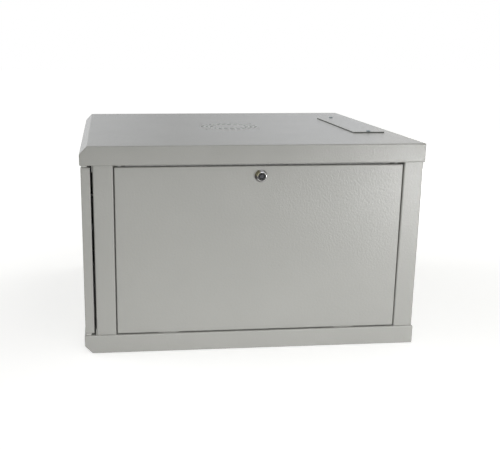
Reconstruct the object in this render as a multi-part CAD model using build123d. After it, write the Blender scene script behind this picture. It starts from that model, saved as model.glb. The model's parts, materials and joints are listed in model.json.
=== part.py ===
from build123d import *
import math
import os

# Wall mount network cabinet, six rack units high, 600 wide and 600 deep. Millimetres.
# X runs across the cabinet, -Y is the glass door, +Y is the wall and +Z is up.
# The origin is at the middle of the underside.
os.makedirs("parts", exist_ok=True)

# Overall size
cabinet_w = 600.0
cabinet_d = 600.0
cabinet_h = 368.0

# Clearances
turning_gap = 0.05
moving_gap = 0.3

# Top and bottom covers
cover_t = 1.2
cover_h = 33.0
cover_bend_r = 2.0
cover_bevel = 13.5
cover_lip_w = 38.0
rear_lip_w = 20.0
stop_flange_h = 11.0

# Corner posts, set back inside the edges of the covers
post_t = 1.5
post_bend_r = 2.5
post_side_setback = 4.0
post_front_setback = 21.8
post_rear_setback = 1.5
post_face_w = 26.0
post_flank_w = 34.7
rebate_depth = 12.0
rebate_lip_w = 21.0

# Depth rails that join the posts and carry the rack rails
side_rail_t = 1.2
side_rail_web_h = 10.0
side_rail_edge_w = 16.5
side_rail_end_gap = 1.4
rail_slot_w = 6.6
rail_slot_bridge = 14.0
rail_slot_spare = 8.0
rail_slot_count = 4

# Nineteen-inch rack rails
unit_h = 44.45
unit_holes = (6.35, 22.225, 38.1)
rack_hole = 9.5
rack_opening_w = 450.0
rack_column_inset = 7.55
rack_rail_t = 2.0
rack_rail_bend_r = 3.0
rack_rail_face_w = 22.0
rack_rail_d = 38.0
rack_rail_foot_w = 15.0
front_rack_setback = 72.0
rear_rack_setback = 110.0

# Side panels
panel_t = 1.0
panel_bend_r = 1.5
panel_flange_w = 10.0
panel_end_gap = 1.9
panel_foot_gap = 1.5
panel_head_gap = 3.7
panel_pivot_inset = 2.2
panel_pivot_lift = 1.2
tab_w = 26.0
tab_drop = 7.0
tab_shoulder_w = 6.0
tab_spacing = 320.0
tab_slot_w = 6.5
tab_slot_end_gap = 1.0

# Door
door_t = 1.2
door_bend_r = 2.0
door_d = 16.1
door_front_setback = 1.7
door_end_gap = 3.0
door_lip_w = 12.0
window_side_border = 68.0
window_end_border = 30.0
glass_t = 4.0
glass_overlap = 10.0
seal_t = 1.0
seal_w = 9.0

# Door hinge pins
hinge_edge_inset = 6.0
hinge_face_inset = 6.3
hinge_pin_r = 2.5
hinge_pin_reach = 8.0
hinge_pin_tail_l = 6.0
hinge_collar_r = 4.0
hinge_collar_t = 3.0
bush_r = 4.0
bush_flange_r = 5.0
bush_stand = 1.3

# Cam locks
bezel_base_r = 11.2
bezel_mouth_r = 8.3
bezel_h = 8.5
bezel_edge_r = 0.6
barrel_r = 9.0
barrel_flats = 16.0
lock_face_r = 7.3
lock_face_t = 2.7
lock_face_recess = 0.6
plug_r = 6.0
keyway_r = 4.9
keyway_depth = 5.0
keyway_notch_w = 1.8
keyway_notch_depth = 1.4
spindle_r = 3.5
cam_t = 2.0
cam_w = 13.0
cam_square = 4.8
lock_nut_t = 3.0
lock_nut_across = 22.0
cam_screw_r = 1.5
cam_screw_l = 7.0
cam_screw_head_r = 4.0
cam_screw_head_h = 2.2
side_lock_drop = 17.3
side_cam_reach = 18.0
side_cam_play = 1.7
door_lock_inset = 42.0
door_cam_reach = 27.0

# Vent ring in each cover, with the screw holes of a 120 mm fan
vent_y = -4.0
vent_rows = 3
vent_inner_r = 33.5
vent_slot_w = 6.0
vent_slot_l = 9.0
vent_row_step = 9.25
vent_bridge = 3.0
fan_square_w = 105.0
fan_hole_r = 2.2

# Cable entry in each cover, closed by a screwed plate on a gasket
entry_x = -10.5
entry_rear_setback = 51.5
entry_plate_w = 290.0
entry_plate_d = 61.0
entry_plate_t = 1.2
entry_gasket_t = 1.0
entry_end_border = 22.0
entry_side_border = 10.0
entry_corner_r = 3.0
entry_screw_inset = 5.5
entry_screw_r = 2.0
entry_head_r = 4.0
entry_head_h = 2.0
entry_head_bevel = 0.9

# Rear panel, with its screws and the holes for the wall bolts
rear_panel_t = 1.5
rear_panel_overlap = 20.0
rear_panel_end_gap = 3.0
wall_hole_r = 4.5
wall_hole_side_inset = 60.0
wall_hole_end_inset = 74.0
panel_screw_r = 2.5
panel_screw_head_r = 4.0
panel_screw_l = 8.0
panel_nut_across = 8.0
panel_nut_t = 4.0
panel_screw_inset = 7.0
panel_screw_end_inset = 16.0

# Frame bolts and rack rail bolts
bolt_r = 3.0
bolt_across = 10.0
bolt_head_h = 4.0
bolt_nut_t = 5.0
bolt_spare_l = 2.0
frame_bolt_inset = 17.0
frame_bolt_setback = 38.0
rail_bolt_y = 18.0

# Rivets that hold the depth rails to the posts
rivet_r = 2.0
rivet_head_r = 3.5
rivet_head_h = 0.8
rivet_tail_r = 2.8
rivet_tail_l = 2.0
rivet_inset = 11.0

# Glass clips on studs welded inside the door
clip_t = 1.0
clip_w = 16.0
clip_foot_w = 10.0
clip_tongue_w = 7.0
clip_bend_r = 1.2
clip_edge_gap = 1.5
clip_x = 150.0
clip_z = 75.0
stud_r = 2.0
stud_l = 6.0
clip_nut_across = 7.0
clip_nut_t = 3.2

# Earth stud on the rear lip of the bottom cover
earth_x = -200.0
earth_stud_l = 20.0
earth_collar_r = 5.0
earth_collar_t = 1.5

# Places worked out from the sizes above
half_w = cabinet_w / 2
front_y = -cabinet_d / 2
rear_y = cabinet_d / 2
mid_z = cabinet_h / 2
top_lip_z = cabinet_h - cover_h
bottom_lip_z = cover_h
lip_x = half_w - cover_lip_w
post_x = half_w - post_side_setback
post_face_x = post_x - post_face_w
post_front_y = front_y + post_front_setback
post_rear_y = rear_y - post_rear_setback
post_mid_y = (post_front_y + post_rear_y) / 2
post_step_y = post_front_y + post_flank_w
rebate_x = post_x - rebate_depth
side_rail_x = rebate_x - post_t
cam_catch_x = side_rail_x - side_rail_t
side_rail_front_y = post_step_y + side_rail_end_gap
side_rail_rear_y = 2 * post_mid_y - side_rail_front_y
rack_column_x = rack_opening_w / 2 + rack_column_inset
rail_bolt_x = rack_opening_w / 2 + rack_rail_face_w + rack_rail_foot_w / 2
side_rail_inner_x = rail_bolt_x - side_rail_edge_w
rack_foot_z = top_lip_z - side_rail_t
rack_units = int((2 * rack_foot_z - cabinet_h) / unit_h)
front_rack_y = front_y + front_rack_setback
rear_rack_y = rear_y - rear_rack_setback
front_rack_bolt_y = front_rack_y + rail_bolt_y
rear_rack_bolt_y = rear_rack_y - rail_bolt_y
door_front_y = front_y + door_front_setback
door_rear_y = door_front_y + door_d
door_bottom_z = bottom_lip_z + door_end_gap
door_top_z = top_lip_z - door_end_gap
hinge_x = post_x - hinge_edge_inset
hinge_y = door_front_y + hinge_face_inset
window_x = post_x - window_side_border
window_bottom_z = door_bottom_z + window_end_border
window_top_z = door_top_z - window_end_border
glass_x = window_x + glass_overlap
glass_bottom_z = window_bottom_z - glass_overlap
glass_top_z = window_top_z + glass_overlap
sheet_back_y = door_front_y + door_t
glass_front_y = sheet_back_y + seal_t
glass_back_y = glass_front_y + glass_t
door_lock_x = -(post_x - door_lock_inset)
panel_front_y = post_step_y + panel_end_gap
panel_rear_y = 2 * post_mid_y - panel_front_y
panel_bottom_z = bottom_lip_z + panel_foot_gap
panel_top_z = top_lip_z - panel_head_gap
panel_pivot_x = post_x - panel_pivot_inset
panel_pivot_z = bottom_lip_z + panel_pivot_lift
side_lock_z = panel_top_z - side_lock_drop
entry_y = rear_y - entry_rear_setback


def block(x0, x1, y0, y1, z0, z1):
    """A block between its limits."""
    centre = Pos((x0 + x1) / 2, (y0 + y1) / 2, (z0 + z1) / 2)
    return centre * Box(x1 - x0, y1 - y0, z1 - z0)


def folded(plane, points, thickness, bend_r, length):
    """Sheet folded along a path, with its thickness on the left of the path."""
    path = FilletPolyline(*points, radius=bend_r)
    section = make_face(offset(path, amount=thickness, side=Side.LEFT))
    return extrude(plane * section, length)


def rod(plane, radius, low, high):
    """A round bar along a plane's normal, between two heights."""
    return extrude(plane.offset(low) * Circle(radius), high - low)


def hexagon(plane, across, low, high):
    """A hexagonal prism along a plane's normal, between two heights."""
    return extrude(plane.offset(low) * RegularPolygon(across / 2, 6, major_radius=False), high - low)


def nut(plane, radius, across, low, high):
    """A hexagon nut between two heights."""
    return hexagon(plane, across, low, high) - rod(plane, radius + turning_gap, low, high)


def bolt_and_nut(plane, grip):
    """A hexagon bolt whose head stands on the plane, and its nut on the far side of the grip."""
    shank_l = grip + bolt_nut_t + bolt_spare_l
    screw = hexagon(plane, bolt_across, 0, bolt_head_h) + rod(plane, bolt_r, -shank_l, 0)
    return [screw, nut(plane, bolt_r, bolt_across, -grip - bolt_nut_t, -grip)]


def to_left(piece):
    """The matching piece on the other side of the cabinet."""
    return mirror(piece, about=Plane.YZ)


def to_rear(piece):
    """The matching piece at the other end of the side frame."""
    return mirror(piece, about=Plane.XZ.offset(-post_mid_y))


def to_bottom(piece):
    """The matching piece at the other end of the cabinet's height."""
    return mirror(piece, about=Plane.XY.offset(mid_z))


def group(pieces):
    """Separate solids kept in one node."""
    return Compound(children=[solid for piece in pieces for solid in piece.solids()])


def vent_ring():
    """Rings of short slots round a blank disc, and four fan screw holes."""
    ring = Sketch()
    for row in range(vent_rows):
        middle_r = vent_inner_r + row * vent_row_step + vent_slot_w / 2
        slots = int(2 * math.pi * middle_r / (vent_slot_l + vent_bridge))
        for place in PolarLocations(middle_r, slots):
            ring += place * Rectangle(vent_slot_w, vent_slot_l)
    for hole in GridLocations(fan_square_w, fan_square_w, 2, 2):
        ring += hole * Circle(fan_hole_r)
    return Pos(0, vent_y) * ring


def entry_screw_places():
    """The two screws of a cable entry plate, seen from above."""
    x = entry_plate_w / 2 - entry_screw_inset
    return [(entry_x + side * x, entry_y) for side in (-1, 1)]


def entry_plate_outline():
    """The outline of a cable entry's plate and gasket."""
    return Pos(entry_x, entry_y) * RectangleRounded(entry_plate_w, entry_plate_d, entry_corner_r)


def entry_opening():
    """The opening under a cable entry's plate."""
    opening_w = entry_plate_w - 2 * entry_end_border
    opening_d = entry_plate_d - 2 * entry_side_border
    return Pos(entry_x, entry_y) * RectangleRounded(opening_w, opening_d, entry_corner_r)


def cover_tray():
    """The top cover: a folded tray with a bevelled front and lips turned in all round."""
    outline = make_face(Polyline(
        (front_y, top_lip_z),
        (front_y, cabinet_h - cover_bevel),
        (front_y + cover_bevel, cabinet_h),
        (rear_y, cabinet_h),
        (rear_y, top_lip_z),
        close=True,
    ))
    inner_outline = offset(outline, amount=-cover_t, kind=Kind.INTERSECTION)
    outside = extrude(Plane.YZ * outline, half_w, both=True)
    inside = extrude(Plane.YZ * inner_outline, half_w - cover_t, both=True)
    tray = fillet(outside.edges(), cover_bend_r) - fillet(inside.edges(), cover_bend_r - cover_t)
    tray -= block(-lip_x, lip_x, post_front_y, rear_y - rear_lip_w, top_lip_z, top_lip_z + cover_t)
    tray += block(-post_x, post_x, post_front_y - cover_t, post_front_y,
                  top_lip_z - stop_flange_h, top_lip_z)
    sheet = Plane.XY.offset(cabinet_h - cover_t)
    tray -= extrude(sheet * vent_ring(), cover_t)
    tray -= extrude(sheet * entry_opening(), cover_t)
    for x, y in entry_screw_places():
        tray -= rod(Plane((x, y, 0)), entry_screw_r + turning_gap, cabinet_h - cover_t, cabinet_h)
    for x, y in frame_bolt_places():
        tray -= rod(Plane((x, y, 0)), bolt_r + turning_gap, top_lip_z, top_lip_z + cover_t)
    bush_plane = Plane((hinge_x, hinge_y, top_lip_z))
    return tray - rod(bush_plane, bush_r + turning_gap, 0, cover_t)


def tab_places():
    """The middles of the side panel's two bottom tabs, along the cabinet's depth."""
    return [post_mid_y - tab_spacing / 2, post_mid_y + tab_spacing / 2]


def bottom_cover():
    """The same pressing turned over, with slots in its lips for the side panels' tabs."""
    tray = to_bottom(cover_tray())
    slot_outer_x = panel_pivot_x + moving_gap
    slot_half_l = tab_w / 2 + tab_slot_end_gap
    for y in tab_places():
        slot = block(slot_outer_x - tab_slot_w, slot_outer_x, y - slot_half_l, y + slot_half_l,
                     bottom_lip_z - cover_t, bottom_lip_z)
        tray -= slot + to_left(slot)
    return tray


def frame_bolt_places():
    """The four bolts at the ends of the corner posts, seen from above."""
    x = half_w - frame_bolt_inset
    y = front_y + frame_bolt_setback
    return [(side * x, depth) for side in (1, -1) for depth in (y, 2 * post_mid_y - y)]


def front_post():
    """A front corner post: front face, flank, rebate behind the side panel, and end plates."""
    points = [
        (post_face_x, post_front_y),
        (post_x, post_front_y),
        (post_x, post_step_y),
        (rebate_x, post_step_y),
        (rebate_x, post_step_y + rebate_lip_w),
    ]
    post = folded(Plane.XY.offset(bottom_lip_z), points, post_t, post_bend_r, top_lip_z - bottom_lip_z)
    end_plate = block(post_face_x, post_x - post_t, post_front_y + post_t, post_step_y - post_t,
                      bottom_lip_z, bottom_lip_z + post_t)
    bolt_plane = Plane((half_w - frame_bolt_inset, front_y + frame_bolt_setback, bottom_lip_z))
    end_plate -= rod(bolt_plane, bolt_r + turning_gap, 0, post_t)
    post += end_plate + to_bottom(end_plate)
    for hole in rivet_holes():
        post -= hole
    return post


def rivet_plane():
    """Where the front bottom rivet's head meets the post's lip, pointing out of the cabinet."""
    y = post_step_y + rivet_inset
    z = bottom_lip_z + side_rail_web_h / 2
    return Plane(origin=(rebate_x, y, z), x_dir=(0, 1, 0), z_dir=(1, 0, 0))


def rivet_holes():
    """The rivet holes through a front post's lip and the rails behind it."""
    hole = rod(rivet_plane(), rivet_r + turning_gap, -post_t - side_rail_t, 0)
    return [hole, to_bottom(hole)]


def rivet():
    """A blind rivet through a post's lip and a depth rail."""
    plane = rivet_plane()
    grip = post_t + side_rail_t
    shank = rod(plane, rivet_r, -grip, 0)
    head = rod(plane, rivet_head_r, 0, rivet_head_h)
    tail = rod(plane, rivet_tail_r, -grip - rivet_tail_l, -grip)
    return head + shank + tail


def top_side_rail():
    """An angle along the top of a side frame, slotted for the rack rails' bolts."""
    points = [
        (side_rail_x, top_lip_z - side_rail_web_h),
        (side_rail_x, top_lip_z),
        (side_rail_inner_x, top_lip_z),
    ]
    length = side_rail_rear_y - side_rail_front_y
    rail = folded(Plane.XZ.offset(-side_rail_rear_y), points, side_rail_t, side_rail_t * 1.5, length)
    slots_l = rear_rack_bolt_y - front_rack_bolt_y + 2 * rail_slot_spare
    slot_step = (slots_l + rail_slot_bridge) / rail_slot_count
    slot = Rot(0, 0, 90) * SlotOverall(slot_step - rail_slot_bridge, rail_slot_w)
    for place in GridLocations(0, slot_step, 1, rail_slot_count):
        cut = Pos(rail_bolt_x, (front_rack_bolt_y + rear_rack_bolt_y) / 2) * place * slot
        rail -= extrude(Plane.XY.offset(rack_foot_z) * cut, side_rail_t)
    front_hole = rivet_holes()[1]
    return rail - front_hole - to_rear(front_hole)


def rack_rail():
    """A front rack rail: the face with its square holes, a web, a stiffening lip and two feet."""
    web_x = rack_opening_w / 2 + rack_rail_face_w
    points = [
        (rack_opening_w / 2, front_rack_y),
        (web_x, front_rack_y),
        (web_x, front_rack_y + rack_rail_d),
        (web_x + rack_rail_foot_w - rack_rail_bend_r, front_rack_y + rack_rail_d),
    ]
    foot_z = cabinet_h - rack_foot_z
    rail = folded(Plane.XY.offset(foot_z), points, rack_rail_t, rack_rail_bend_r, rack_foot_z - foot_z)
    foot = block(web_x - rack_rail_t, web_x + rack_rail_foot_w, front_rack_y + rack_rail_bend_r,
                 front_rack_y + rack_rail_d, foot_z, foot_z + rack_rail_t)
    foot -= rod(Plane((rail_bolt_x, front_rack_bolt_y, foot_z)), bolt_r + turning_gap, 0, rack_rail_t)
    rail += foot + to_bottom(foot)
    first_z = mid_z - rack_units * unit_h / 2
    face = Plane.XZ.offset(-front_rack_y - rack_rail_t)
    holes = Sketch()
    for unit in range(rack_units):
        for height in unit_holes:
            place = Pos(rack_column_x, first_z + unit * unit_h + height)
            holes += place * Rectangle(rack_hole, rack_hole)
    return rail - extrude(face * holes, rack_rail_t)


def rack_rail_at_rear(piece):
    """The same rack rail turned to face the wall, at the rear of the cabinet."""
    return mirror(piece, about=Plane.XZ.offset(-(front_rack_y + rear_rack_y) / 2))


def rack_bolt():
    """The front right bolt of a rack rail's top foot, with its nut."""
    plane = Plane((rail_bolt_x, front_rack_bolt_y, top_lip_z))
    return bolt_and_nut(plane, side_rail_t + rack_rail_t)


def frame_bolt(x, y):
    """A bolt and nut that clamp a post's top end plate to the top cover's lip."""
    plane = Plane(origin=(x, y, top_lip_z - post_t), x_dir=(1, 0, 0), z_dir=(0, 0, -1))
    return bolt_and_nut(plane, post_t + cover_t)


def lock_section(plane, extra=0.0):
    """A lock barrel's double-flatted section."""
    flats = Rectangle(barrel_flats + 2 * extra, 2 * barrel_r + 2 * extra)
    return plane * (Circle(barrel_r + extra) & flats)


def cam_lock(plane, barrel_l, reach, sheet_t):
    """A cam lock: its plane lies on the sheet's outside, with the cam along the plane's X."""
    bezel_profile = make_face(Polyline(
        (0, 0),
        (bezel_base_r, 0),
        (bezel_mouth_r, bezel_h),
        (0, bezel_h),
        close=True,
    ))
    bezel = revolve(Plane.XZ * bezel_profile, Axis.Z)
    bezel = fillet(bezel.edges().group_by(Axis.Z)[-1], bezel_edge_r)
    barrel = extrude(lock_section(Plane.XY.offset(-barrel_l)), barrel_l)
    face_z = bezel_h - lock_face_recess
    face_seat_z = face_z - lock_face_t
    body = bezel + barrel
    body -= rod(Plane.XY, plug_r + turning_gap, -barrel_l, bezel_h)
    body -= rod(Plane.XY, lock_face_r + turning_gap, face_seat_z - moving_gap, bezel_h)

    plug_end = -barrel_l - moving_gap
    plug = rod(Plane.XY, plug_r, plug_end, face_seat_z)
    plug += rod(Plane.XY, lock_face_r, face_seat_z, face_z)
    plug -= rod(Plane.XY, keyway_r, face_z - keyway_depth, face_z)
    plug -= rod(Plane.XY, spindle_r, plug_end, face_z)
    notch_y = keyway_notch_w / 2
    plug -= block(0, plug_r, -notch_y, notch_y, face_z - keyway_notch_depth, face_z)

    cam_end = plug_end - cam_t
    spindle = rod(Plane.XY, spindle_r, plug_end, face_z)
    spindle += extrude(Plane.XY.offset(cam_end) * Rectangle(cam_square, cam_square), cam_t)
    spindle -= rod(Plane.XY, cam_screw_r, cam_end, cam_end + cam_screw_l)

    arm_l = reach - cam_w / 2
    square = cam_square + 2 * turning_gap
    cam_shape = Pos(arm_l / 2, 0) * SlotCenterToCenter(arm_l, cam_w) - Rectangle(square, square)
    cam = extrude(Plane.XY.offset(cam_end) * cam_shape, cam_t)

    screw = rod(Plane.XY, cam_screw_head_r, cam_end - cam_screw_head_h, cam_end)
    screw += rod(Plane.XY, cam_screw_r, cam_end, cam_end + cam_screw_l)

    nut_end = -sheet_t - lock_nut_t
    lock_nut = hexagon(Plane.XY, lock_nut_across, nut_end, -sheet_t)
    lock_nut -= extrude(lock_section(Plane.XY.offset(nut_end), turning_gap), lock_nut_t)

    pieces = {
        "body": body,
        "plug": plug,
        "spindle": spindle,
        "cam": cam,
        "cam_screw": screw,
        "nut": lock_nut,
    }
    return {name: plane.location * piece for name, piece in pieces.items()}


def side_lock_plane():
    """The right side lock: outwards is +X, and its cam rests pointing to the front."""
    return Plane(origin=(post_x, post_mid_y, side_lock_z), x_dir=(0, -1, 0), z_dir=(1, 0, 0))


def door_lock_plane():
    """The door lock: outwards is -Y, and its cam rests pointing down."""
    return Plane(origin=(door_lock_x, door_front_y, mid_z), x_dir=(0, 0, -1), z_dir=(0, -1, 0))


def side_panel():
    """The right side panel: a shallow pan on two shouldered tabs in the bottom cover's slots."""
    inner_x = post_x - panel_flange_w
    outside = block(inner_x, post_x, panel_front_y, panel_rear_y, panel_bottom_z, panel_top_z)
    inside = block(inner_x, post_x - panel_t, panel_front_y + panel_t, panel_rear_y - panel_t,
                   panel_bottom_z + panel_t, panel_top_z - panel_t)
    outer_edges = outside.edges().filter_by(Axis.X) + outside.edges().group_by(Axis.X)[-1]
    inner_edges = inside.edges().filter_by(Axis.X) + inside.edges().group_by(Axis.X)[-1]
    panel = fillet(outer_edges, panel_bend_r) - fillet(inner_edges, panel_bend_r - panel_t)
    tab_inner_x = panel_pivot_x - panel_t
    tab_top_z = panel_bottom_z + panel_t
    tab_half_w = tab_w / 2
    shoulder = tab_half_w + tab_shoulder_w
    for y in tab_places():
        panel += block(tab_inner_x, panel_pivot_x, y - tab_half_w, y + tab_half_w,
                       bottom_lip_z - tab_drop, tab_top_z)
        panel += block(tab_inner_x, panel_pivot_x, y - shoulder, y + shoulder,
                       bottom_lip_z + moving_gap, tab_top_z)
    hole = lock_section(side_lock_plane().offset(-panel_t), turning_gap)
    return panel - extrude(hole, panel_t)


def clip_places():
    """The glass clips: centre on the glass edge and the direction away from the glass."""
    places = []
    for side in (1, -1):
        for way in (1, -1):
            end_z = glass_top_z if way > 0 else glass_bottom_z
            places.append((side * clip_x, end_z, 0, way))
            places.append((side * glass_x, mid_z + way * clip_z, side, 0))
    return places


def clip_plane(x, z, out_x, out_z):
    """A plane on the back of the door sheet at a clip, with its X away from the glass."""
    return Plane(origin=(x, sheet_back_y, z), x_dir=(out_x, 0, out_z), z_dir=(0, 1, 0))


def clip_stud_plane(place):
    """The plane at a clip's stud."""
    plane = clip_plane(*place)
    stud_x = clip_edge_gap + clip_t + clip_foot_w / 2
    return Plane(origin=plane.from_local_coords((stud_x, 0, 0)), x_dir=plane.x_dir, z_dir=plane.z_dir)


def glass_clip(place):
    """A Z-shaped clip: a tongue on the glass and a foot on the door sheet."""
    plane = clip_plane(*place)
    across = Plane(origin=plane.origin, x_dir=plane.x_dir, z_dir=-plane.y_dir).offset(-clip_w / 2)
    rise = glass_back_y - sheet_back_y
    points = [
        (-clip_tongue_w, rise),
        (clip_edge_gap, rise),
        (clip_edge_gap, 0),
        (clip_edge_gap + clip_t + clip_foot_w, 0),
    ]
    clip = folded(across, points, clip_t, clip_bend_r, clip_w)
    return clip - rod(clip_stud_plane(place), stud_r + turning_gap, 0, clip_t)


def glass_clip_nut(place):
    """The nut that holds a glass clip down on its stud."""
    return nut(clip_stud_plane(place), stud_r, clip_nut_across, clip_t, clip_t + clip_nut_t)


def door_frame():
    """The door's steel frame: a pan with its edges folded back and in, and weld studs inside."""
    inner_x = post_x - door_t
    outside = block(-post_x, post_x, door_front_y, door_rear_y, door_bottom_z, door_top_z)
    inside = block(-inner_x, inner_x, sheet_back_y, door_rear_y - door_t,
                   door_bottom_z + door_t, door_top_z - door_t)
    frame = fillet(outside.edges(), door_bend_r) - fillet(inside.edges(), door_bend_r - door_t)
    lip_edge_x = post_x - door_lip_w
    frame -= block(-lip_edge_x, lip_edge_x, door_rear_y - door_t, door_rear_y,
                   door_bottom_z + door_lip_w, door_top_z - door_lip_w)
    frame -= block(-window_x, window_x, door_front_y, sheet_back_y, window_bottom_z, window_top_z)
    pin_hole = rod(Plane((hinge_x, hinge_y, door_top_z)), hinge_pin_r + turning_gap, -door_t, 0)
    frame -= pin_hole
    frame -= to_bottom(pin_hole)
    frame -= extrude(lock_section(door_lock_plane().offset(-door_t), turning_gap), door_t)
    for place in clip_places():
        frame += rod(clip_stud_plane(place), stud_r, 0, stud_l)
    return frame


def door_seal():
    """The foam strip between the door sheet and the glass."""
    outer = block(-glass_x, glass_x, sheet_back_y, glass_front_y, glass_bottom_z, glass_top_z)
    return outer - block(-glass_x + seal_w, glass_x - seal_w, sheet_back_y, glass_front_y,
                         glass_bottom_z + seal_w, glass_top_z - seal_w)


def top_hinge_pin():
    """The door's top pin: it stands up out of the door into the top cover's bush."""
    plane = Plane((hinge_x, hinge_y, door_top_z - door_t))
    pin = rod(plane, hinge_pin_r, -hinge_pin_tail_l, door_t + door_end_gap + hinge_pin_reach)
    return pin + rod(plane, hinge_collar_r, -hinge_collar_t, 0)


def top_hinge_bush():
    """The flanged bush in the top cover, a running gap above the door."""
    plane = Plane((hinge_x, hinge_y, top_lip_z))
    bush_top = cover_t + bush_stand
    bush = rod(plane, bush_r, 0, bush_top) + rod(plane, bush_flange_r, moving_gap - door_end_gap, 0)
    return bush - rod(plane, hinge_pin_r + turning_gap, -door_end_gap, bush_top)


def entry_parts(base_z):
    """A cable entry's gasket, plate and screws, standing on a sheet's upper face."""
    plate_z = base_z + entry_gasket_t
    screw_holes = Part()
    for x, y in entry_screw_places():
        hole_plane = Plane((x, y, base_z))
        screw_holes += rod(hole_plane, entry_screw_r + turning_gap, 0, entry_gasket_t + entry_plate_t)
    gasket_shape = entry_plate_outline() - entry_opening()
    gasket = extrude(Plane.XY.offset(base_z) * gasket_shape, entry_gasket_t) - screw_holes
    plate = extrude(Plane.XY.offset(plate_z) * entry_plate_outline(), entry_plate_t) - screw_holes
    grip = entry_plate_t + entry_gasket_t + cover_t
    screws = []
    for x, y in entry_screw_places():
        plane = Plane((x, y, plate_z + entry_plate_t))
        head = rod(plane, entry_head_r, 0, entry_head_h)
        head = chamfer(head.edges().group_by(Axis.Z)[-1], entry_head_bevel)
        screws.append(head + rod(plane, entry_screw_r, -grip, 0))
    return gasket, plate, group(screws)


def rear_screw_places():
    """The rear panel's six screws, as X and Z."""
    x = post_face_x + rear_panel_overlap - panel_screw_inset
    z = mid_z - bottom_lip_z - rear_panel_end_gap - panel_screw_end_inset
    return [(side * x, mid_z + rise * z) for side in (1, -1) for rise in (-1, 0, 1)]


def rear_plane(x, z):
    """A plane on the rear panel's outer face, pointing at the wall."""
    return Plane(origin=(x, post_rear_y + rear_panel_t, z), x_dir=(1, 0, 0), z_dir=(0, 1, 0))


def countersunk(plane, extra=0.0):
    """A countersunk head's cone, flush with the plane and as deep as the rear panel."""
    profile = make_face(Polyline(
        (0, -rear_panel_t),
        (panel_screw_r + extra, -rear_panel_t),
        (panel_screw_head_r + extra, 0),
        (0, 0),
        close=True,
    ))
    return plane.location * revolve(Plane.XZ * profile, Axis.Z)


def rear_panel():
    """The wall plate, screwed to the backs of the rear posts."""
    half = post_face_x + rear_panel_overlap
    low = bottom_lip_z + rear_panel_end_gap
    panel = block(-half, half, post_rear_y, post_rear_y + rear_panel_t, low, cabinet_h - low)
    for x, z in rear_screw_places():
        panel -= countersunk(rear_plane(x, z), turning_gap)
    hole_spacing_x = cabinet_w - 2 * wall_hole_side_inset
    hole_spacing_z = cabinet_h - 2 * wall_hole_end_inset
    for hole in GridLocations(hole_spacing_x, hole_spacing_z, 2, 2):
        x, z = hole.position.X, mid_z + hole.position.Y
        panel -= rod(rear_plane(x, z), wall_hole_r, -rear_panel_t, 0)
    return panel


def rear_post(post):
    """The rear corner post: the front post turned round, with holes for the rear panel's screws."""
    post = to_rear(post)
    for x, z in rear_screw_places():
        post -= rod(rear_plane(x, z), panel_screw_r + turning_gap, -rear_panel_t - post_t, -rear_panel_t)
    return post


def rear_screws():
    """The rear panel's countersunk screws and their nuts."""
    pieces = []
    grip = rear_panel_t + post_t
    for x, z in rear_screw_places():
        plane = rear_plane(x, z)
        pieces.append(countersunk(plane) + rod(plane, panel_screw_r, -panel_screw_l, -rear_panel_t))
        pieces.append(nut(plane, panel_screw_r, panel_nut_across, -grip - panel_nut_t, -grip))
    return group(pieces)


def earth_stud():
    """The earth stud with its nut."""
    plane = Plane((earth_x, rear_y - rear_lip_w / 2, bottom_lip_z))
    stud = rod(plane, earth_collar_r, 0, earth_collar_t) + rod(plane, bolt_r, 0, earth_stud_l)
    return group([stud, nut(plane, bolt_r, bolt_across, earth_collar_t, earth_collar_t + bolt_nut_t)])


nodes = {}

# Covers and frame
nodes["top_cover"] = cover_tray()
nodes["bottom_cover"] = bottom_cover()
nodes["front_post_right"] = front_post()
nodes["front_post_left"] = to_left(nodes["front_post_right"])
nodes["rear_post_right"] = rear_post(nodes["front_post_right"])
nodes["rear_post_left"] = to_left(nodes["rear_post_right"])
nodes["side_rail_top_right"] = top_side_rail()
nodes["side_rail_top_left"] = to_left(nodes["side_rail_top_right"])
nodes["side_rail_bottom_right"] = to_bottom(nodes["side_rail_top_right"])
nodes["side_rail_bottom_left"] = to_left(nodes["side_rail_bottom_right"])
nodes["rear_panel"] = rear_panel()

# Rack rails
nodes["rack_rail_front_right"] = rack_rail()
nodes["rack_rail_front_left"] = to_left(nodes["rack_rail_front_right"])
nodes["rack_rail_rear_right"] = rack_rail_at_rear(nodes["rack_rail_front_right"])
nodes["rack_rail_rear_left"] = to_left(nodes["rack_rail_rear_right"])

# Frame fasteners
frame_bolts = [piece for x, y in frame_bolt_places() for piece in frame_bolt(x, y)]
nodes["frame_bolts_top"] = group(frame_bolts)
nodes["frame_bolts_bottom"] = group([to_bottom(piece) for piece in frame_bolts])
front_rack_bolts = [side for piece in rack_bolt() for side in (piece, to_left(piece))]
rack_bolts = front_rack_bolts + [rack_rail_at_rear(piece) for piece in front_rack_bolts]
nodes["rack_bolts_top"] = group(rack_bolts)
nodes["rack_bolts_bottom"] = group([to_bottom(piece) for piece in rack_bolts])
right_rivets = [end for piece in (rivet(), to_rear(rivet())) for end in (piece, to_bottom(piece))]
nodes["side_rail_rivets"] = group(right_rivets + [to_left(piece) for piece in right_rivets])
nodes["rear_panel_screws"] = rear_screws()
nodes["earth_stud"] = earth_stud()

# Cable entries
entries = {"top": entry_parts(cabinet_h), "bottom": entry_parts(cover_t)}
for end, (gasket, plate, screws) in entries.items():
    nodes[f"cable_gasket_{end}"] = gasket
    nodes[f"cable_plate_{end}"] = plate
    nodes[f"cable_plate_screws_{end}"] = screws

# Side panels with their locks
nodes["side_panel_right"] = side_panel()
nodes["side_panel_left"] = to_left(nodes["side_panel_right"])
side_lock_l = post_x - cam_catch_x + side_cam_play
side_lock = cam_lock(side_lock_plane(), side_lock_l, side_cam_reach, panel_t)
for name, piece in side_lock.items():
    nodes[f"side_lock_{name}_right"] = piece
    nodes[f"side_lock_{name}_left"] = to_left(piece)

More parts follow.
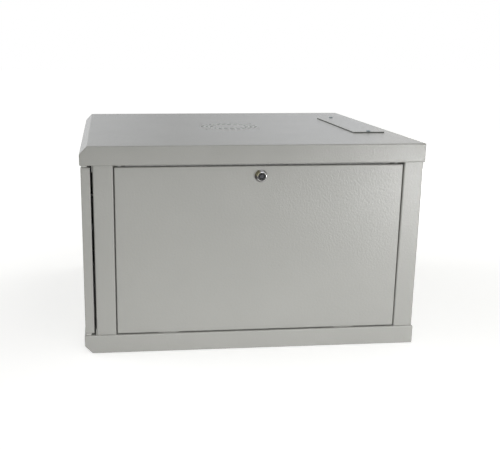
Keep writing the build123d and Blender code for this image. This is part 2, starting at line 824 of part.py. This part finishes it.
# Door
nodes["door_frame"] = door_frame()
nodes["door_glass"] = block(-glass_x, glass_x, glass_front_y, glass_back_y, glass_bottom_z, glass_top_z)
nodes["door_glass_seal"] = door_seal()
nodes["glass_clips"] = group([glass_clip(place) for place in clip_places()])
nodes["glass_clip_nuts"] = group([glass_clip_nut(place) for place in clip_places()])
nodes["door_hinge_pin_top"] = top_hinge_pin()
nodes["door_hinge_pin_bottom"] = to_bottom(nodes["door_hinge_pin_top"])
nodes["door_hinge_bush_top"] = top_hinge_bush()
nodes["door_hinge_bush_bottom"] = to_bottom(nodes["door_hinge_bush_top"])
cam_gap_l = post_front_y + post_t - door_front_y
for name, piece in cam_lock(door_lock_plane(), cam_gap_l, door_cam_reach, door_t).items():
    nodes[f"door_lock_{name}"] = piece

for name, node in nodes.items():
    export_step(node, f"parts/{name}.step")
print(len(nodes), "nodes written")
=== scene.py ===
import json
import math

import bpy
from mathutils import Matrix, Vector

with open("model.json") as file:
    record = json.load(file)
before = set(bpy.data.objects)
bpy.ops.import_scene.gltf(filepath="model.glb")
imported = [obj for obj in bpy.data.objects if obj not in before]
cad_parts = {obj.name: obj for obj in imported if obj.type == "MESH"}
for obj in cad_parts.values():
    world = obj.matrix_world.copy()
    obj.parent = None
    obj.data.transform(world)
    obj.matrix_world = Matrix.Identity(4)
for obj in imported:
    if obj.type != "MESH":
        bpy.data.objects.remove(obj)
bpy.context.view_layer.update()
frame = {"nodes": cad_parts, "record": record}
scene = bpy.context.scene
scene.view_settings.view_transform = "Standard"

# Camera, solved from the cabinet's edges in the photograph
CAMERA_PLACE = Vector((1.7043, -0.2517, 0.5465))
CAMERA_YAW = math.radians(6.277)
CAMERA_PITCH = math.radians(15.162)
CAMERA_ROLL = math.radians(0.296)
FOCAL_PX = 835.6
IMAGE_W_PX = 500
PRINCIPAL_LEFT_PX = 51.0
PRINCIPAL_DOWN_PX = 37.2
SENSOR_MM = 36.0

# Light from all round
AMBIENT_COLOUR = (1.0, 1.0, 0.965, 1)
AMBIENT_STRENGTH = 0.45
WHITE = (1, 1, 1, 1)

# Floor, in metres from the cabinet's middle, with the glow that makes it white to the eye
FLOOR_COLOUR = (0.86, 0.86, 0.86, 1)
FLOOR_HALF = 12.0
FLOOR_DROP = 0.0004
GLOW_NEAR = 0.46
GLOW_FAR = 0.64
NEAR_DISTANCE = 0.5
FAR_DISTANCE = 2.2

# Card that quiets the top's sheen, metres; its brightness rises from the middle to the ends
CARD_COLOUR = (0.95, 0.965, 1.0, 1)
CARD_PLACE = (-2.0, 0.05, 0)
CARD_HALF_W = 0.9
CARD_H = 1.8
CARD_MIDDLE_LEVEL = 0.58
CARD_LEVEL_RISE = 0.46

# Powder coat, colours linear
COAT_GREY = (0.425, 0.425, 0.405)
COAT_CLOUD_SHADE = 0.965
COAT_ROUGHNESS = 0.25
COAT_SPECULAR = 0.55
# Painted light: near-white colour on the vent slots' upright walls, standing in for the light they
# catch
SLOT_PAINTED_LIGHT = (0.90, 0.92, 0.91, 1)

# Vent ring on both covers, metres, where light is painted on the slots' upright walls, and the share of
# that painted light on the sheet between them
VENT_CENTRE = (0, -0.004)
VENT_INNER_R = 0.033
VENT_OUTER_R = 0.0586
UPRIGHT_LIMIT = 0.5
RING_PAINTED_LIGHT_SHARE = 0.45

# Side locks: their axis, metres, and the colours round the bezel by the angle up from the front side: a
# dark band, a painted olive reflection above it and a painted white highlight at the top
SIDE_LOCK_Y = 0.01015
SIDE_LOCK_Z = 0.314
BEZEL_PLAIN = (0.50, 0.50, 0.47, 1)
# Painted reflections and a painted highlight round the bezel, by angle in degrees: dark band, olive
# reflection, white highlight
BEZEL_PAINTED_REFLECTIONS = (
    (-32, BEZEL_PLAIN),
    (-22, (0.18, 0.17, 0.17, 1)),
    (2, (0.17, 0.16, 0.16, 1)),
    (10, (0.40, 0.38, 0.25, 1)),
    (66, (0.35, 0.33, 0.21, 1)),
    (78, WHITE),
    (104, WHITE),
    (116, BEZEL_PLAIN),
)


def add_camera():
    """The camera stands where the photograph was taken from."""
    forward = Vector((
        -math.cos(CAMERA_YAW) * math.cos(CAMERA_PITCH),
        math.sin(CAMERA_YAW) * math.cos(CAMERA_PITCH),
        -math.sin(CAMERA_PITCH),
    ))
    level_right = forward.cross(Vector((0, 0, 1))).normalized()
    level_up = level_right.cross(forward)
    right = math.cos(CAMERA_ROLL) * level_right + math.sin(CAMERA_ROLL) * level_up
    up = math.cos(CAMERA_ROLL) * level_up - math.sin(CAMERA_ROLL) * level_right
    data = bpy.data.cameras.new("camera")
    data.sensor_width = SENSOR_MM
    data.lens = FOCAL_PX * SENSOR_MM / IMAGE_W_PX
    data.shift_x = PRINCIPAL_LEFT_PX / IMAGE_W_PX
    data.shift_y = PRINCIPAL_DOWN_PX / IMAGE_W_PX
    data.dof.use_dof = False
    camera = bpy.data.objects.new("camera", data)
    turn = Matrix((right, up, -forward)).transposed()
    camera.matrix_world = Matrix.Translation(CAMERA_PLACE) @ turn.to_4x4()
    scene.collection.objects.link(camera)
    scene.camera = camera


def add_area_light(name, place, target, size, watts, spread=180):
    """A soft rectangular lamp aimed at a point, with its beam's spread in degrees."""
    data = bpy.data.lights.new(name, "AREA")
    data.shape = "RECTANGLE"
    data.size, data.size_y = size
    data.energy = watts
    data.spread = math.radians(spread)
    lamp = bpy.data.objects.new(name, data)
    lamp.location = place
    lamp.rotation_euler = (Vector(target) - Vector(place)).to_track_quat("-Z", "Y").to_euler()
    scene.collection.objects.link(lamp)


def add_lamps():
    """Low lamps at the right for the side's sheen, and soft ones for the other sides."""
    add_area_light("sheen", (1.6, 0.9, 0.10), (0.3, 0.3, 0.25), (0.2, 0.15), 5.7)
    add_area_light("rear_high", (-0.6, 1.8, 1.8), (0, 0, 0.3), (2.6, 2.6), 8)
    add_area_light("left_low", (-1.6, 1.3, 0.16), (-0.3, 0.1, 0.2), (1.2, 0.22), 6)
    add_area_light("floor_strip", (0.95, 0.10, 0.25), (0.33, 0.10, 0), (1.0, 0.1), 0.44, 70)
    add_area_light("front", (-0.6, -2.2, 1.3), (-0.1, -0.3, 0.25), (1.4, 1.2), 13)


def new_material(name):
    """An empty node material, with its nodes and links."""
    material = bpy.data.materials.new(name)
    material.use_nodes = True
    nodes = material.node_tree.nodes
    nodes.clear()
    return material, nodes, material.node_tree.links


def set_input(links, socket, value):
    """Joins a socket to another node's output, or gives it a plain value."""
    if isinstance(value, bpy.types.NodeSocket):
        links.new(value, socket)
    else:
        socket.default_value = value


def calculate(nodes, links, operation, *values):
    """A sum on plain values and other nodes' outputs."""
    node = nodes.new("ShaderNodeMath")
    node.operation = operation
    for socket, value in zip(node.inputs, values):
        set_input(links, socket, value)
    return node.outputs[0]


def map_range(nodes, links, value, from_range, to_range):
    """A value carried over from one range to another."""
    node = nodes.new("ShaderNodeMapRange")
    links.new(value, node.inputs["Value"])
    node.inputs["From Min"].default_value, node.inputs["From Max"].default_value = from_range
    node.inputs["To Min"].default_value, node.inputs["To Max"].default_value = to_range
    return node.outputs[0]


def mix_shaders(nodes, links, share, first, second):
    """The first shader where the share is nought, the second where it is one."""
    node = nodes.new("ShaderNodeMixShader")
    links.new(share, node.inputs[0])
    links.new(first.outputs[0], node.inputs[1])
    links.new(second.outputs[0], node.inputs[2])
    return node


def mix_colours(nodes, links, blend, share, first, second):
    """Two colours mixed, or multiplied."""
    node = nodes.new("ShaderNodeMix")
    node.data_type = "RGBA"
    node.blend_type = blend
    set_input(links, node.inputs["Factor"], share)
    set_input(links, node.inputs["A"], first)
    set_input(links, node.inputs["B"], second)
    return node.outputs["Result"]


def separate(nodes, links, vector):
    """The three parts of a vector."""
    node = nodes.new("ShaderNodeSeparateXYZ")
    links.new(vector, node.inputs[0])
    return node.outputs


def length(nodes, links, vector):
    """The length of a vector."""
    node = nodes.new("ShaderNodeVectorMath")
    node.operation = "LENGTH"
    links.new(vector, node.inputs[0])
    return node.outputs["Value"]


def seen_by_eye(nodes, links):
    """One for camera, glossy and transmission rays, nought for light that only falls on things."""
    path = nodes.new("ShaderNodeLightPath").outputs
    direct = calculate(nodes, links, "MAXIMUM", path["Is Camera Ray"], path["Is Glossy Ray"])
    return calculate(nodes, links, "MAXIMUM", direct, path["Is Transmission Ray"])


def add_world():
    """Even light from all round; the camera, gloss and glass see plain white."""
    world = bpy.data.worlds.new("studio")
    scene.world = world
    world.use_nodes = True
    nodes, links = world.node_tree.nodes, world.node_tree.links
    nodes.clear()
    ambient = nodes.new("ShaderNodeBackground")
    ambient.inputs["Color"].default_value = AMBIENT_COLOUR
    ambient.inputs["Strength"].default_value = AMBIENT_STRENGTH
    white = nodes.new("ShaderNodeBackground")
    white.inputs["Color"].default_value = WHITE
    mix = mix_shaders(nodes, links, seen_by_eye(nodes, links), ambient, white)
    output = nodes.new("ShaderNodeOutputWorld")
    links.new(mix.outputs[0], output.inputs["Surface"])


def add_sheet(name, corners, place, material):
    """A flat stage sheet through four corners."""
    mesh = bpy.data.meshes.new(name)
    mesh.from_pydata(corners, [], [(0, 1, 2, 3)])
    mesh.materials.append(material)
    sheet = bpy.data.objects.new(name, mesh)
    sheet.location = place
    scene.collection.objects.link(sheet)


def add_floor():
    """A pale floor that fades to white with distance and keeps the cabinet's shadow."""
    material, nodes, links = new_material("pale_floor")
    diffuse = nodes.new("ShaderNodeBsdfDiffuse")
    diffuse.inputs["Color"].default_value = FLOOR_COLOUR
    distance = length(nodes, links, nodes.new("ShaderNodeTexCoord").outputs["Object"])
    fade = map_range(nodes, links, distance, (NEAR_DISTANCE, FAR_DISTANCE), (GLOW_NEAR, GLOW_FAR))
    glow = nodes.new("ShaderNodeEmission")
    lift = calculate(nodes, links, "MULTIPLY", seen_by_eye(nodes, links), fade)
    links.new(lift, glow.inputs["Strength"])
    total = nodes.new("ShaderNodeAddShader")
    links.new(diffuse.outputs[0], total.inputs[0])
    links.new(glow.outputs[0], total.inputs[1])
    output = nodes.new("ShaderNodeOutputMaterial")
    links.new(total.outputs[0], output.inputs["Surface"])
    corners = [
        (-FLOOR_HALF, -FLOOR_HALF, 0),
        (FLOOR_HALF, -FLOOR_HALF, 0),
        (FLOOR_HALF, FLOOR_HALF, 0),
        (-FLOOR_HALF, FLOOR_HALF, 0),
    ]
    add_sheet("floor", corners, (0, 0, -FLOOR_DROP), material)


def add_card():
    """A card beyond the left side, grey in the middle: only gloss sees it, to quiet the top's sheen."""
    material, nodes, links = new_material("grey_card")
    grey = nodes.new("ShaderNodeEmission")
    grey.inputs["Color"].default_value = CARD_COLOUR
    along = separate(nodes, links, nodes.new("ShaderNodeTexCoord").outputs["Object"])["Y"]
    from_middle = calculate(nodes, links, "ABSOLUTE", along)
    level = calculate(nodes, links, "MULTIPLY_ADD", from_middle, CARD_LEVEL_RISE, CARD_MIDDLE_LEVEL)
    links.new(level, grey.inputs["Strength"])
    clear = nodes.new("ShaderNodeBsdfTransparent")
    glossy = nodes.new("ShaderNodeLightPath").outputs["Is Glossy Ray"]
    mix = mix_shaders(nodes, links, glossy, clear, grey)
    output = nodes.new("ShaderNodeOutputMaterial")
    links.new(mix.outputs[0], output.inputs["Surface"])
    corners = [
        (0, -CARD_HALF_W, 0),
        (0, CARD_HALF_W, 0),
        (0, CARD_HALF_W, CARD_H),
        (0, -CARD_HALF_W, CARD_H),
    ]
    add_sheet("grey_card", corners, CARD_PLACE, material)


def noise(nodes, links, place, scale, detail, roughness=0.5):
    """A noise texture in the object's own space, in cycles per metre."""
    texture = nodes.new("ShaderNodeTexNoise")
    texture.inputs["Scale"].default_value = scale
    texture.inputs["Detail"].default_value = detail
    texture.inputs["Roughness"].default_value = roughness
    links.new(place.outputs["Object"], texture.inputs["Vector"])
    return texture.outputs["Fac"]


def opaque(colour, shade=1.0):
    """A colour made darker by a shade, with its alpha."""
    return tuple(shade * part for part in colour) + (1,)


def ramp(nodes, links, source, low, high, colour_low, colour_high):
    """A colour ramp between two noise levels."""
    node = nodes.new("ShaderNodeValToRGB")
    node.color_ramp.elements[0].position = low
    node.color_ramp.elements[0].color = colour_low
    node.color_ramp.elements[1].position = high
    node.color_ramp.elements[1].color = colour_high
    links.new(source, node.inputs["Fac"])
    return node.outputs["Color"]


def bump(nodes, links, height, distance, under=None):
    """A bump from a height, stacked on another bump where one is given."""
    node = nodes.new("ShaderNodeBump")
    node.inputs["Strength"].default_value = 1.0
    node.inputs["Distance"].default_value = distance
    links.new(height, node.inputs["Height"])
    if under:
        links.new(under, node.inputs["Normal"])
    return node.outputs["Normal"]


def surface(name, metallic=0.0, roughness=0.5):
    """A principled surface with its texture coordinates."""
    material, nodes, links = new_material(name)
    shader = nodes.new("ShaderNodeBsdfPrincipled")
    shader.inputs["Metallic"].default_value = metallic
    shader.inputs["Roughness"].default_value = roughness
    output = nodes.new("ShaderNodeOutputMaterial")
    links.new(shader.outputs[0], output.inputs["Surface"])
    place = nodes.new("ShaderNodeTexCoord")
    return material, nodes, links, shader, place


def vent_painted_light(nodes, links, place):
    """Where light is painted: one on the upright cut-edge walls of the vent ring's slots, and a share
    of that on the sheet between them.
    """
    flat = nodes.new("ShaderNodeVectorMath")
    flat.operation = "MULTIPLY_ADD"
    links.new(place.outputs["Object"], flat.inputs[0])
    flat.inputs[1].default_value = (1, 1, 0)
    flat.inputs[2].default_value = (-VENT_CENTRE[0], -VENT_CENTRE[1], 0)
    radius = length(nodes, links, flat.outputs["Vector"])
    facing = separate(nodes, links, place.outputs["Normal"])["Z"]
    steep = calculate(nodes, links, "ABSOLUTE", facing)
    inner = calculate(nodes, links, "GREATER_THAN", radius, VENT_INNER_R)
    outer = calculate(nodes, links, "LESS_THAN", radius, VENT_OUTER_R)
    upright = calculate(nodes, links, "LESS_THAN", steep, UPRIGHT_LIMIT)
    share = calculate(nodes, links, "MAXIMUM", upright, RING_PAINTED_LIGHT_SHARE)
    ring = calculate(nodes, links, "MULTIPLY", inner, outer)
    return calculate(nodes, links, "MULTIPLY", ring, share)


def powder_coat(name, vented):
    """Light grey powder coat: orange peel, fine grain and slight clouding, with painted light at the
    vent slots.
    """
    material, nodes, links, shader, place = surface(name, roughness=COAT_ROUGHNESS)
    shader.inputs["Specular IOR Level"].default_value = COAT_SPECULAR
    cloud = noise(nodes, links, place, 9.0, 3.0)
    shaded = opaque(COAT_GREY, COAT_CLOUD_SHADE)
    colour = ramp(nodes, links, cloud, 0.35, 0.65, shaded, opaque(COAT_GREY))
    if vented:
        # Painted light on the vent slots' walls and a paler painted band across the ring
        edges = vent_painted_light(nodes, links, place)
        colour = mix_colours(nodes, links, "MIX", edges, colour, SLOT_PAINTED_LIGHT)
    links.new(colour, shader.inputs["Base Color"])
    peel = noise(nodes, links, place, 260.0, 3.0, 0.55)
    grain = noise(nodes, links, place, 1300.0, 1.5)
    coarse = bump(nodes, links, peel, 0.00031)
    links.new(bump(nodes, links, grain, 0.00012, under=coarse), shader.inputs["Normal"])
    return material


def plated(name, colour, roughness, streak=60.0):
    """Plated or bare steel with fine mottling in colour and gloss."""
    material, nodes, links, shader, place = surface(name, metallic=1.0, roughness=roughness)
    mottle = noise(nodes, links, place, streak, 4.0, 0.6)
    tint = ramp(nodes, links, mottle, 0.3, 0.7, opaque(colour, 0.82), opaque(colour))
    links.new(tint, shader.inputs["Base Color"])
    evenly = (roughness,) * 3
    gloss = ramp(nodes, links, mottle, 0.3, 0.7, opaque(evenly, 0.8), opaque(evenly, 1.25))
    links.new(gloss, shader.inputs["Roughness"])
    grain = noise(nodes, links, place, 2400.0, 2.0)
    links.new(bump(nodes, links, grain, 0.00002), shader.inputs["Normal"])
    return material


def bezel_chrome():
    """The side locks' chrome, with a dark band at the front side, a painted olive reflection above it
    and a painted white highlight at the top.
    """
    material = plated("bezel_chrome", (0.88, 0.87, 0.92), 0.16, 25.0)
    nodes, links = material.node_tree.nodes, material.node_tree.links
    base = nodes["Principled BSDF"].inputs["Base Color"]
    parts = separate(nodes, links, nodes.new("ShaderNodeTexCoord").outputs["Object"])
    up = calculate(nodes, links, "SUBTRACT", parts["Z"], SIDE_LOCK_Z)
    forward = calculate(nodes, links, "SUBTRACT", SIDE_LOCK_Y, parts["Y"])
    angle = calculate(nodes, links, "ARCTAN2", up, forward)
    turn = map_range(nodes, links, angle, (-math.pi, math.pi), (0, 1))
    # Painted reflections and a painted highlight, by the angle round the lock's axis
    reflection_ramp = nodes.new("ShaderNodeValToRGB")
    links.new(turn, reflection_ramp.inputs["Fac"])
    stops = reflection_ramp.color_ramp.elements
    stops[0].color = BEZEL_PLAIN
    stops[1].color = BEZEL_PLAIN
    for degrees, colour in BEZEL_PAINTED_REFLECTIONS:
        stops.new((degrees + 180) / 360).color = colour
    plating = base.links[0].from_socket
    links.new(mix_colours(nodes, links, "MULTIPLY", 1.0, plating, reflection_ramp.outputs["Color"]), base)
    return material


def moulded(name, colour, roughness, grain_depth):
    """Plastic, paint or rubber with a fine grain."""
    material, nodes, links, shader, place = surface(name, roughness=roughness)
    cloud = noise(nodes, links, place, 120.0, 3.0)
    tint = ramp(nodes, links, cloud, 0.3, 0.7, opaque(colour, 0.85), opaque(colour))
    links.new(tint, shader.inputs["Base Color"])
    grain = noise(nodes, links, place, 1800.0, 2.0)
    links.new(bump(nodes, links, grain, grain_depth), shader.inputs["Normal"])
    return material


def smoked_glass():
    """Toughened glass with a light smoke tint and a faint roller wave."""
    material, nodes, links, shader, place = surface("smoked_glass", roughness=0.02)
    shader.inputs["Transmission Weight"].default_value = 1.0
    shader.inputs["IOR"].default_value = 1.5
    cloud = noise(nodes, links, place, 4.0, 1.0)
    tint = ramp(nodes, links, cloud, 0.3, 0.7, (0.30, 0.32, 0.33, 1), (0.33, 0.35, 0.36, 1))
    links.new(tint, shader.inputs["Base Color"])
    wave = noise(nodes, links, place, 12.0, 0.0)
    links.new(bump(nodes, links, wave, 0.0002), shader.inputs["Normal"])
    return material


def paint_nodes():
    """Every node of the cabinet gets the finish of its record slot; covers and side locks their own."""
    finishes = {
        "powder_coat": powder_coat("powder_coat", vented=False),
        "zinc_plate": plated("zinc_plate", (0.58, 0.58, 0.57), 0.34),
        "dark_screws": plated("dark_screws", (0.24, 0.28, 0.30), 0.38),
        "lock_chrome": plated("lock_chrome", (0.45, 0.445, 0.435), 0.16, 25.0),
        "lock_black": moulded("lock_black", (0.010, 0.010, 0.010), 0.32, 0.00001),
        "lock_steel": plated("lock_steel", (0.055, 0.055, 0.060), 0.30),
        "nylon": moulded("nylon", (0.74, 0.74, 0.71), 0.45, 0.00002),
        "foam": moulded("foam", (0.050, 0.058, 0.062), 0.85, 0.00025),
        "smoked_glass": smoked_glass(),
    }
    vented_coat = powder_coat("vented_coat", vented=True)
    chrome_with_painted_reflections = bezel_chrome()
    own_finishes = {
        "top_cover": vented_coat,
        "bottom_cover": vented_coat,
        # The side locks' bezels carry painted reflections and a painted highlight
        "side_lock_body_right": chrome_with_painted_reflections,
        "side_lock_body_left": chrome_with_painted_reflections,
    }
    for entry in frame["record"]["subparts"]:
        finish = own_finishes.get(entry["node"], finishes[entry["material_slot"]])
        for slot in frame["nodes"][entry["node"]].material_slots:
            slot.material = finish


add_camera()
add_world()
add_floor()
add_card()
add_lamps()
paint_nodes()
